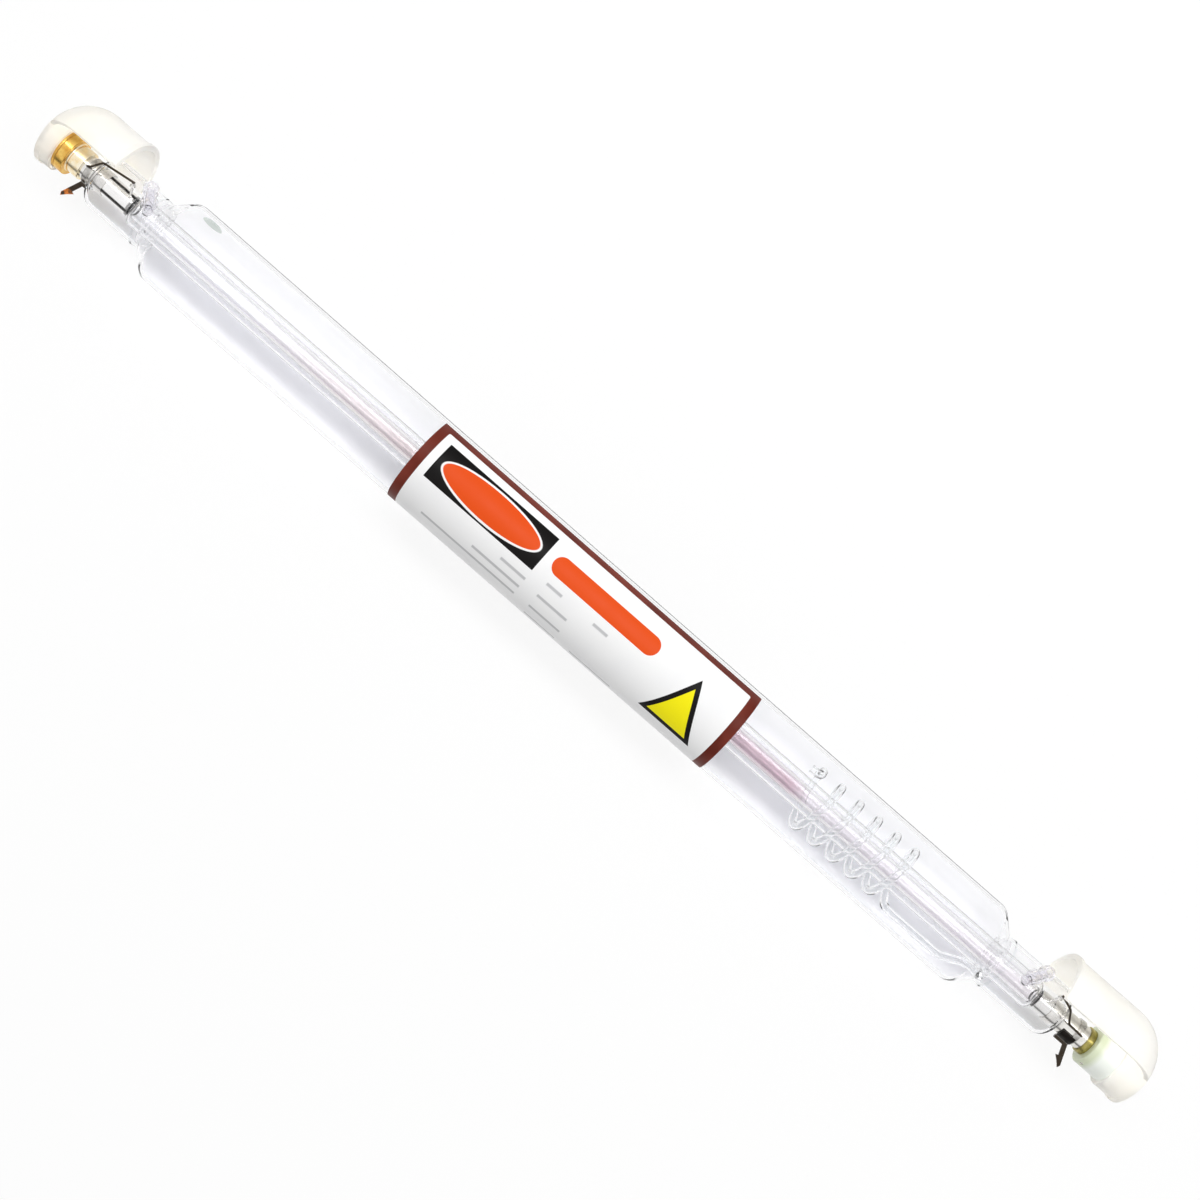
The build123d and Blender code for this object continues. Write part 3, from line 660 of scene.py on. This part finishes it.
def collar_material():
    """Pale paint on the collar, darker and greener towards the flange."""
    material, nodes, out = new_material("pale_collar")
    skin = use(nodes, "Moulded Skin", {"Vector": nodes.place()})
    cloud = skin.outputs["Cloudiness"]
    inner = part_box("lens_collar")[0].x
    full, gone = GREEN_END_EDGE
    tone = nodes.blend(cloud, settings().metal.collar[:], paint(238, 244, 236))
    green_end = nodes.ramp(along_axis(nodes), inner + full, inner + gone, 1.0, 0.0)
    tone = nodes.blend(green_end, tone, paint(216, 224, 194))
    rough = nodes.ramp(cloud, 0.0, 1.0, 0.3, 0.42)
    grain = bump(nodes, skin.outputs["Height"], 0.1, SKIN_GRAIN)
    surface(nodes, out, tone, rough, grain, Coat_Weight=0.3, Coat_Roughness=0.15)
    return material


def hood_material():
    """Milky plastic that light soaks through."""
    look = settings().metal
    material, nodes, out = new_material("milky_hood")
    skin = use(nodes, "Moulded Skin", {"Vector": nodes.place()})
    cloud = skin.outputs["Cloudiness"]
    shader = principled(nodes, Transmission_Weight=0.55, IOR=1.2)
    nodes.feed(shader.inputs["Base Color"], nodes.blend(cloud, look.hood[:], paint(252, 250, 244)))
    nodes.feed(shader.inputs["Roughness"], nodes.ramp(cloud, 0.0, 1.0, 0.42, 0.54))
    nodes.feed(shader.inputs["Normal"], bump(nodes, skin.outputs["Height"], 0.1, SKIN_GRAIN))
    let_lamps_through(nodes, shader, out, (0.9, 0.895, 0.88))
    return material


def lens_material():
    """The coated lens, amber in colour and a little see-through."""
    material, nodes, out = new_material("amber_lens")
    skin = use(nodes, "Moulded Skin", {"Vector": nodes.place(), "Cloud": 120.0})
    colour = settings().metal.lens[:]
    deep = tuple(0.8 * value for value in colour)
    shader = principled(nodes, IOR=2.4, Transmission_Weight=0.5, Roughness=0.04)
    nodes.feed(shader.inputs["Base Color"], nodes.blend(skin.outputs["Cloudiness"], colour, deep))
    nodes.feed(out.inputs["Surface"], shader)
    return material


def label_material():
    """The printed sheet: a border, a dark panel with an oval, a round-ended bar, a triangle, faint lines."""
    look = settings().label
    material, nodes, out = new_material("label_print")
    split = nodes.add("ShaderNodeSeparateXYZ", {0: nodes.place()})
    low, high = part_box("label")
    u = nodes.math("MULTIPLY", split.outputs["X"], 1 / MM)
    angle = nodes.math("ARCTAN2", split.outputs["Y"], split.outputs["Z"])
    v = nodes.math("MULTIPLY", angle, LABEL_RADIUS)

    def arc(degrees):
        return radians(degrees) * LABEL_RADIUS

    def flat(first, second, bottom, top):
        return first, second, arc(bottom), arc(top)

    def box(left, right, bottom, top, corner=0.2, soft=0.15):
        sizes = {"U": u, "V": v, "Left": left, "Right": right, "Bottom": bottom, "Top": top}
        return use(nodes, "Print Box", {**sizes, "Round": corner, "Soft": soft}).outputs["Mask"]

    def oval(left, right, bottom, top, grow=0.0):
        wide, tall = (right - left) / 2 + grow, (top - bottom) / 2 + grow
        x = nodes.math("DIVIDE", nodes.math("SUBTRACT", u, (left + right) / 2), wide)
        y = nodes.math("DIVIDE", nodes.math("SUBTRACT", v, (bottom + top) / 2), tall)
        square = nodes.math("ADD", nodes.math("MULTIPLY", x, x), nodes.math("MULTIPLY", y, y))
        away = nodes.math("MULTIPLY", nodes.math("SUBTRACT", nodes.math("SQRT", square), 1.0), tall)
        return nodes.math("MULTIPLY_ADD", away, -PRINT_SHARPNESS, 0.5, clamp=True)

    def triangle(middle, half, bottom, top, grow=0.0):
        slope = half / (top - bottom)
        lean = (1 + slope**2) ** 0.5
        from_middle = nodes.math("ABSOLUTE", nodes.math("SUBTRACT", u, middle))
        drop = nodes.math("MULTIPLY", nodes.math("SUBTRACT", v, top), slope)
        side = nodes.math("DIVIDE", nodes.math("ADD", from_middle, drop), lean)
        worst = nodes.math("MAXIMUM", side, nodes.math("SUBTRACT", bottom, v))
        away = nodes.math("SUBTRACT", worst, grow)
        return nodes.math("MULTIPLY_ADD", away, -PRINT_SHARPNESS, 0.5, clamp=True)

    width = look.border_width / MM
    left, right = low.x / MM, high.x / MM
    bottom, top = (arc(degrees) for degrees in LABEL_SPAN)
    field = box(left + width, right - width, bottom + width, top - width, 1.0)
    smudge = nodes.noise(nodes.place(), 60.0, 3.0)
    brown = nodes.blend(nodes.ramp(smudge, 0.35, 0.7), look.border[:], paint(124, 54, 42))
    sheet = nodes.blend(nodes.ramp(smudge, 0.4, 0.8, 0.0, 0.25), look.sheet[:], paint(236, 236, 240))
    colour = nodes.blend(field, brown, sheet)
    for start, end, degrees in FAINT_LINES:
        middle = arc(degrees)
        bar = box(start, end, middle - FAINT_HALF, middle + FAINT_HALF, 0.3, 0.6)
        colour = nodes.blend(nodes.math("MULTIPLY", bar, 0.6), colour, look.faint[:])
    colour = nodes.blend(box(*flat(*PANEL_BOX)), colour, look.panel[:])
    colour = nodes.blend(oval(*flat(*OVAL_BOX)), colour, look.sheet[:])
    colour = nodes.blend(oval(*flat(*OVAL_BOX), grow=-OVAL_EDGE), colour, look.orange[:])
    colour = nodes.blend(box(*flat(*BAR_BOX), 5.6), colour, look.orange[:])
    colour = nodes.blend(triangle(*flat(*TRIANGLE)), colour, look.panel[:])
    colour = nodes.blend(triangle(*flat(*TRIANGLE), grow=-TRIANGLE_EDGE), colour, look.yellow[:])
    # the back of the sheet, against the glass, is plain
    back = nodes.ramp(radius_of(nodes), *LABEL_BACK_EDGE, 1.0, 0.0)
    colour = nodes.blend(back, colour, sheet)
    shader = principled(nodes, Specular_IOR_Level=0.12)
    nodes.feed(shader.inputs["Base Color"], colour)
    nodes.feed(shader.inputs["Roughness"], nodes.ramp(smudge, 0.3, 0.8, 0.35, 0.5))
    nodes.feed(out.inputs["Surface"], shader)
    return material


# ------------------------------------------------------------------------------------------- pieces
def deselect():
    """Nothing selected and nothing active."""
    for item in bpy.context.selected_objects:
        item.select_set(False)
    bpy.context.view_layer.objects.active = None


def finish_nodes(material, *names):
    """Gives nodes of the part their finish."""
    for name in names:
        for slot in frame["nodes"][name].material_slots:
            slot.material = material


class TUBE_OT_stage(bpy.types.Operator):
    """Set up the floor, the sky, the soft light and the camera"""

    bl_idname = "tube.stage"
    bl_label = "Stage"

    def execute(self, context):
        look = settings().stage
        for kind in ("max_bounces", "transmission_bounces", "transparent_max_bounces"):
            setattr(context.scene.cycles, kind, BOUNCES)
        make_sky(context.scene, look)
        make_floor(look)
        make_key_light(context.scene, look)
        make_camera(context.scene, look)
        context.scene.view_settings.view_transform = "Standard"
        return {"FINISHED"}


def make_sky(scene, look):
    """A white backdrop, soft light that falls off to the sides and a dark horizon for polished metal."""
    world = bpy.data.worlds.new("studio")
    scene.world = world
    world.use_nodes = True
    world.node_tree.nodes.clear()
    nodes = Nodes(world.node_tree)
    out = nodes.add("ShaderNodeOutputWorld")
    direction = nodes.add("ShaderNodeTexCoord").outputs["Generated"]
    split = nodes.add("ShaderNodeSeparateXYZ", {0: direction})
    height = nodes.math("ABSOLUTE", split.outputs["Z"])
    plain = nodes.ramp(height, *SKY_RISE, look.sky_horizon, look.sky_zenith)
    mirrored = nodes.ramp(height, *REFLECTED_RISE, look.mirror_horizon, look.mirror_zenith)
    path = nodes.add("ShaderNodeLightPath")
    glossy = nodes.math("MINIMUM", path.outputs["Glossy Depth"], 1.0)
    not_diffuse = nodes.math("SUBTRACT", 1.0, path.outputs["Is Diffuse Ray"])
    reflected = nodes.math("MULTIPLY", glossy, not_diffuse)
    strength = nodes.math("MULTIPLY_ADD", reflected, nodes.math("SUBTRACT", mirrored, plain), plain)
    light = nodes.add("ShaderNodeBackground", {"Color": (1.0, 1.0, 1.0), "Strength": strength})
    white = nodes.add("ShaderNodeBackground", {"Color": (1.0, 1.0, 1.0), "Strength": look.backdrop})
    unreflected = nodes.math("SUBTRACT", 1.0, reflected)
    through = nodes.math("MULTIPLY", path.outputs["Is Transmission Ray"], unreflected)
    seen = nodes.math("MAXIMUM", path.outputs["Is Camera Ray"], through)
    nodes.feed(out.inputs["Surface"], nodes.add("ShaderNodeMixShader", {0: seen, 1: light, 2: white}))


def make_floor(look):
    """A plain white floor just under the part."""
    deselect()
    bpy.ops.mesh.primitive_plane_add(
        size=look.floor_size, location=(0, 0, cad_box[0].z - look.floor_gap)
    )
    floor = bpy.context.object
    floor.name = "studio_floor"
    material, nodes, out = new_material("studio_floor")
    matt = nodes.add("ShaderNodeBsdfDiffuse", {"Color": look.floor_colour[:]})
    white = nodes.add("ShaderNodeEmission", {"Color": (1.0, 1.0, 1.0), "Strength": 1.0})
    path = nodes.add("ShaderNodeLightPath")
    direct = nodes.math("MAXIMUM", path.outputs["Is Camera Ray"], path.outputs["Is Glossy Ray"])
    bent = path.outputs["Is Transmission Ray"]
    share = nodes.math("MULTIPLY", nodes.math("MAXIMUM", direct, bent), look.floor_glow)
    # what glass shows without any reflection keeps the shadows on the floor
    shown = nodes.math("MULTIPLY", bent, nodes.math("LESS_THAN", path.outputs["Glossy Depth"], 0.5))
    share = nodes.math("SUBTRACT", share, nodes.math("MULTIPLY", shown, look.floor_glow - look.glass_glow))
    nodes.feed(out.inputs["Surface"], nodes.add("ShaderNodeMixShader", {0: share, 1: matt, 2: white}))
    floor.data.materials.append(material)


def make_key_light(scene, look):
    """One long soft light beside the tube, from above and the +Y side."""
    lamp = bpy.data.lights.new("soft_key", "AREA")
    lamp.shape = "RECTANGLE"
    lamp.size = look.key_length
    lamp.size_y = look.key_width
    lamp.energy = look.key_power
    key = bpy.data.objects.new("soft_key", lamp)
    key.location = (0.0, sin(look.key_lean) * look.key_distance, cos(look.key_lean) * look.key_distance)
    key.rotation_euler = (-look.key_lean, 0.0, 0.0)
    scene.collection.objects.link(key)


def make_camera(scene, look):
    """The camera, looking straight down with the tube across the frame's diagonal."""
    data = bpy.data.cameras.new("camera")
    data.lens = look.camera_lens
    data.sensor_width = 36.0
    camera = bpy.data.objects.new("camera", data)
    camera.location = (0.0, look.camera_aside, look.camera_height)
    camera.rotation_euler = (0.0, 0.0, look.camera_turn)
    scene.collection.objects.link(camera)
    scene.camera = camera


class TUBE_OT_glass(bpy.types.Operator):
    """Finish the blown glass"""

    bl_idname = "tube.glass"
    bl_label = "Glass"

    def execute(self, context):
        look = settings().glass
        outer, inner = look.jacket_shadow[:], look.tube_shadow[:]
        jacket = glass_material("jacket_glass", look.jacket_tint[:], outer, 0.006, index=look.jacket_index)
        finish_nodes(jacket, "glass_jacket")
        walls = glass_material("inner_glass", look.tube_tint[:], inner, 0.003)
        finish_nodes(walls, "water_jacket", "rear_bulkhead", "front_bulkhead")
        coil = glass_material("coil_glass", look.coil_tint[:], inner, 0.003, index=look.coil_index)
        finish_nodes(coil, "return_coil")
        small = glass_material("small_glass", look.nozzle_tint[:], inner, 0.003, 0.0, look.small_index)
        finish_nodes(small, "rear_nozzle", "front_nozzle")
        seal = glass_material("seal_glass", look.seal_tint[:], inner, 0.003, index=SEAL_INDEX)
        finish_nodes(seal, "exhaust_seal")
        finish_nodes(bore_material(), "discharge_tube")
        return {"FINISHED"}


class TUBE_OT_metal(bpy.types.Operator):
    """Finish the electrodes, terminals and mounts"""

    bl_idname = "tube.metal"
    bl_label = "Metal ends"

    def execute(self, context):
        look = settings().metal
        steel = metal_material("nickel_steel", look.steel[:], 0.1, paint(186, 182, 176))
        finish_nodes(steel, "rear_sleeve", "front_sleeve", "rear_pin", "front_pin")
        finish_nodes(steel, "cap_screws", "set_screws")
        finish_nodes(can_material(), "rear_electrode", "front_electrode")
        finish_nodes(clip_material(), "rear_terminal_clip", "front_terminal_clip")
        spring = metal_material("dark_spring_wire", look.spring[:], 0.28, paint(62, 54, 44))
        finish_nodes(spring, "rear_terminal_wire", "front_terminal_wire")
        finish_nodes(mount_material(), "rear_mount")
        gilt = metal_material("gilt_cap", look.gold[:], 0.2, paint(206, 142, 58))
        finish_nodes(gilt, "rear_cap")
        olive = metal_material("olive_brass", look.olive[:], 0.2, paint(110, 100, 56))
        finish_nodes(olive, "front_flange")
        mirror = metal_material("gold_coating", paint(250, 200, 110), 0.03, paint(250, 196, 104))
        finish_nodes(mirror, "rear_mirror")
        grey = metal_material("grey_metal", look.retainer[:], 0.25, paint(140, 142, 146))
        finish_nodes(grey, "lens_retainer")
        finish_nodes(rubber_material(), "mirror_seal", "lens_seal")
        finish_nodes(collar_material(), "lens_collar")
        finish_nodes(lens_material(), "output_lens")
        return {"FINISHED"}


class TUBE_OT_hoods(bpy.types.Operator):
    """Finish the two moulded hoods"""

    bl_idname = "tube.hoods"
    bl_label = "Hoods"

    def execute(self, context):
        finish_nodes(hood_material(), "rear_hood", "front_hood")
        return {"FINISHED"}


def settle(piece, name, material):
    """Names a finished piece, rests its place in its mesh and fixes it to the tube."""
    piece.name = name
    bpy.ops.object.transform_apply(location=True, rotation=True, scale=True)
    piece.data.materials.append(material)
    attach(piece, BODY)


def spin_bead(name, centre, axis, bead, material):
    """A fused glass bead round a tube or a pin, spun from a small round section."""
    deselect()
    radius, section, stretch = bead
    side = axis.orthogonal().normalized()
    start = centre + side * radius
    turn = axis.cross(side).to_track_quat("Z", "X").to_euler()
    bpy.ops.mesh.primitive_circle_add(vertices=BEAD_SIDES, radius=section, location=start, rotation=turn)
    piece = bpy.context.object
    bpy.ops.object.mode_set(mode="EDIT")
    bpy.ops.mesh.select_all(action="SELECT")
    bpy.ops.transform.resize(value=(stretch, 1.0, 1.0), center_override=start)
    bpy.ops.mesh.spin(steps=BEAD_STEPS, angle=tau, center=centre, axis=axis)
    bpy.ops.mesh.select_all(action="SELECT")
    bpy.ops.mesh.remove_doubles(threshold=1e-6)
    bpy.ops.mesh.normals_make_consistent(inside=False)
    bpy.ops.object.mode_set(mode="OBJECT")
    bpy.ops.object.shade_smooth()
    settle(piece, name, material)


class TUBE_OT_seams(bpy.types.Operator):
    """Model the fused seams: at the necks' roots, round the metal sleeves and round the pins"""

    bl_idname = "tube.seams"
    bl_label = "Seams"

    def execute(self, context):
        look = settings().glass
        tint, shadow = look.seam_tint[:], look.jacket_shadow[:]
        glass = glass_material("seam_glass", tint, shadow, 0.002, 0.0, look.small_index)
        along = Vector((1.0, 0.0, 0.0))
        out = Vector((0.0, sin(PIN_LEAN), cos(PIN_LEAN)))
        for end, root, mouth, pin in SEAM_PLACES:
            spin_bead(f"{end}_neck_seam", Vector((root * MM, 0, 0)), along, NECK_BEAD, glass)
            spin_bead(f"{end}_sleeve_seal", Vector((mouth * MM, 0, 0)), along, SLEEVE_BEAD, glass)
            foot = Vector((pin * MM, 0, 0)) + out * PIN_FOOT * MM
            spin_bead(f"{end}_pin_seal", foot, out, PIN_BEAD, glass)
        return {"FINISHED"}


class TUBE_OT_saddle(bpy.types.Operator):
    """Model the dark saddle that clamps the front supply lead to its clip"""

    bl_idname = "tube.saddle"
    bl_label = "Clip saddle"

    def execute(self, context):
        start = (SADDLE_START, 0, 0)
        deselect()
        bpy.ops.mesh.primitive_circle_add(
            vertices=SADDLE_STEPS, radius=SADDLE_RADIUS, location=start, rotation=(0, pi / 2, 0)
        )
        piece = context.object
        bpy.ops.object.mode_set(mode="EDIT")
        # an arc on the side away from the hood, from beside the top down to the ear
        for angle, outer in ((SADDLE_FROM, True), (SADDLE_TO, False)):
            bpy.ops.mesh.select_all(action="SELECT")
            bpy.ops.mesh.bisect(
                plane_co=start,
                plane_no=(0, cos(angle), -sin(angle)),
                clear_outer=outer,
                clear_inner=not outer,
            )
        bpy.ops.mesh.select_all(action="SELECT")
        bpy.ops.mesh.extrude_region_move(TRANSFORM_OT_translate={"value": (SADDLE_LENGTH, 0, 0)})
        bpy.ops.mesh.select_all(action="SELECT")
        bpy.ops.mesh.normals_make_consistent(inside=False)
        bpy.ops.object.mode_set(mode="OBJECT")
        for kind, values in (
            ("SOLIDIFY", {"thickness": SADDLE_WALL, "offset": 0.0}),
            ("BEVEL", {"width": SADDLE_EDGE, "segments": 2, "limit_method": "ANGLE"}),
        ):
            modifier = piece.modifiers.new(kind.lower(), kind)
            for key, value in values.items():
                setattr(modifier, key, value)
            bpy.ops.object.modifier_apply(modifier=modifier.name)
        bpy.ops.object.shade_smooth_by_angle(angle=radians(35))
        dark = metal_material("blackened_saddle", paint(40, 36, 34), 0.34, paint(24, 22, 21))
        settle(piece, "front_clip_saddle", dark)
        return {"FINISHED"}


class TUBE_OT_label(bpy.types.Operator):
    """Finish the wrapped label"""

    bl_idname = "tube.label"
    bl_label = "Label"

    def execute(self, context):
        finish_nodes(label_material(), "label")
        return {"FINISHED"}


class TUBE_PT_sidebar(bpy.types.Panel):
    """The operators, in the order in which they run"""

    bl_idname = "TUBE_PT_sidebar"
    bl_label = "Laser Tube"
    bl_space_type = "VIEW_3D"
    bl_region_type = "UI"
    bl_category = "Laser Tube"

    def draw(self, context):
        for operator in OPERATORS:
            self.layout.operator(operator.bl_idname)
        for group in (settings().stage, settings().glass, settings().label, settings().metal):
            box = self.layout.box()
            for name in group.__annotations__:
                box.prop(group, name)


GROUPS = (StageSettings, GlassSettings, LabelSettings, MetalSettings, TubeSettings)
OPERATORS = (
    TUBE_OT_stage,
    TUBE_OT_glass,
    TUBE_OT_seams,
    TUBE_OT_metal,
    TUBE_OT_saddle,
    TUBE_OT_hoods,
    TUBE_OT_label,
)


def register():
    """Registers the classes and hangs the settings on the scene."""
    for item in (*GROUPS, *OPERATORS, TUBE_PT_sidebar):
        bpy.utils.register_class(item)
    bpy.types.Scene.laser_tube = bpy.props.PointerProperty(type=TubeSettings)


def unregister():
    """Takes them off again."""
    del bpy.types.Scene.laser_tube
    for item in reversed((*GROUPS, *OPERATORS, TUBE_PT_sidebar)):
        bpy.utils.unregister_class(item)


def main():
    """Runs the operators in order."""
    register()
    make_effects()
    bpy.ops.tube.stage()
    bpy.ops.tube.glass()
    bpy.ops.tube.seams()
    bpy.ops.tube.metal()
    bpy.ops.tube.saddle()
    bpy.ops.tube.hoods()
    bpy.ops.tube.label()


if __name__ == "__main__":
    main()
